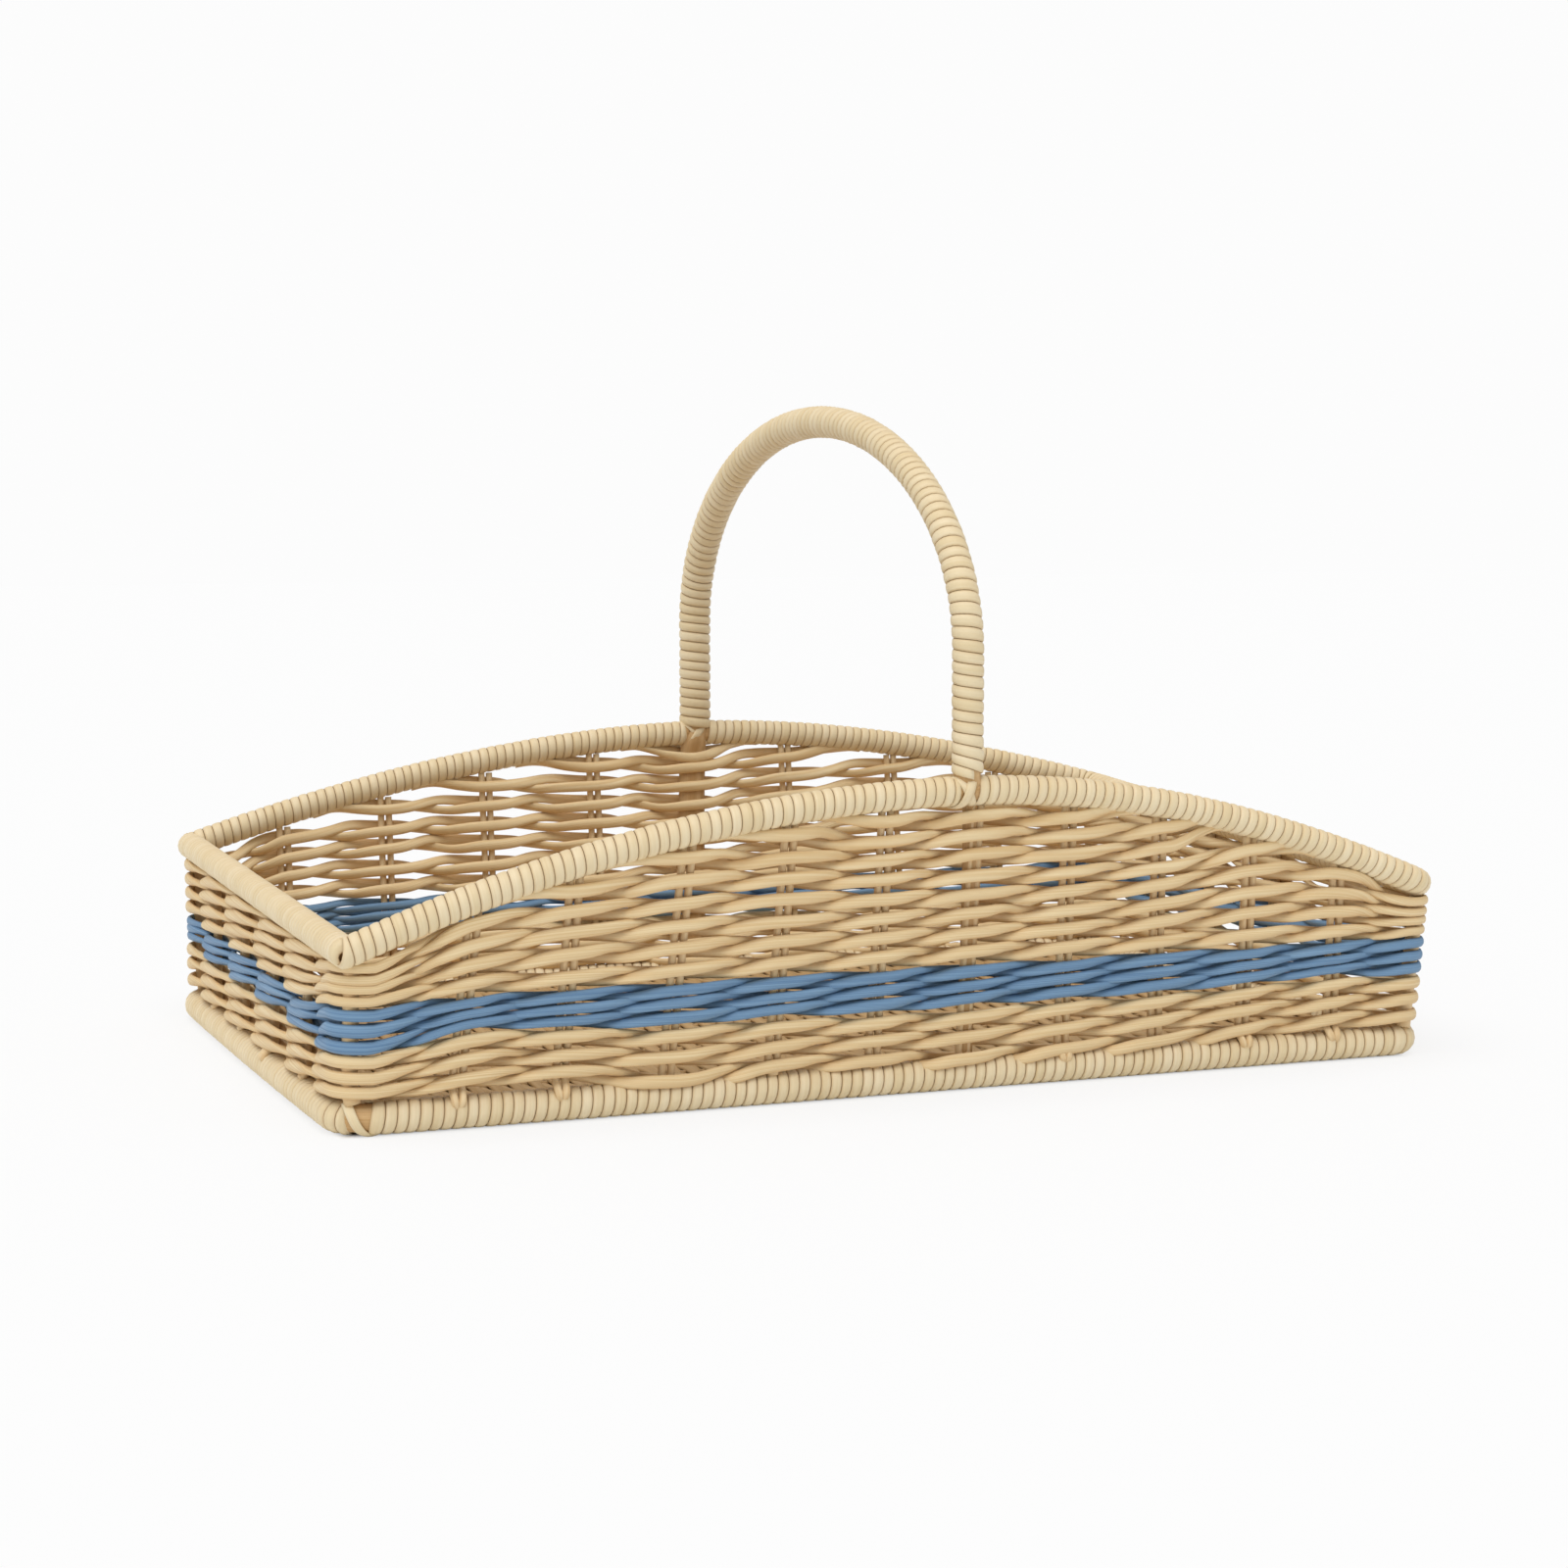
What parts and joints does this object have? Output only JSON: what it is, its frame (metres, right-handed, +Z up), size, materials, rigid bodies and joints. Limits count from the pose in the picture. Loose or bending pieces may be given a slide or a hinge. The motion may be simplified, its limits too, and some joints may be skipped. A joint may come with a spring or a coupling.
{
  "type": "hand basket",
  "caption": "Rectangular open hand basket of twined rattan cane with a dyed band, a wrapped rim arched up along both sides, and a fixed hoop handle across the middle.",
  "frame": {"origin": "on the ground, under the middle of the basket", "axes": "+X along the basket's length, -Y to its front side, +Z up"},
  "size_m": [0.4112, 0.287, 0.2408],
  "materials": {
    "natural_cane": "satin",
    "binding": "satin",
    "dyed_cane": "satin",
    "stake": "satin",
    "pole": "matt"
  },
  "bodies": {
    "root": {"base_pole": "pole", "base_binding": "binding", "base_weave": "natural_cane", "rim_pole": "pole", "rim_binding_left": "binding", "rim_binding_right": "binding", "handle_pole": "pole", "handle_binding": "binding", "handle_lashing_front": "binding", "handle_lashing_back": "binding", "stake_front_1": "stake", "stake_front_2": "stake", "stake_front_3": "stake", "stake_front_4": "stake", "stake_front_5": "stake", "stake_front_6": "stake", "stake_front_7": "stake", "stake_front_8": "stake", "stake_front_9": "stake", "stake_front_10": "stake", "stake_back_1": "stake", "stake_back_2": "stake", "stake_back_3": "stake", "stake_back_4": "stake", "stake_back_5": "stake", "stake_back_6": "stake", "stake_back_7": "stake", "stake_back_8": "stake", "stake_left_1": "stake", "stake_left_2": "stake", "stake_left_3": "stake", "stake_left_4": "stake", "stake_right_1": "stake", "stake_right_2": "stake", "stake_right_3": "stake", "stake_right_4": "stake", "corner_post_front_left": "stake", "corner_post_front_right": "stake", "corner_post_back_right": "stake", "corner_post_back_left": "stake", "row_01_natural": "natural_cane", "row_02_natural": "natural_cane", "row_03_natural": "natural_cane", "row_04_dyed": "dyed_cane", "row_05_dyed": "dyed_cane", "row_06_dyed": "dyed_cane", "row_07_natural": "natural_cane", "row_08_natural": "natural_cane", "row_09_natural": "natural_cane", "row_10_natural": "natural_cane", "short_row_front_1": "natural_cane", "short_row_front_2": "natural_cane", "short_row_front_3": "natural_cane", "short_row_front_4": "natural_cane", "short_row_back_1": "natural_cane", "short_row_back_2": "natural_cane", "short_row_back_3": "natural_cane", "short_row_back_4": "natural_cane"}
  },
  "joints": []
}
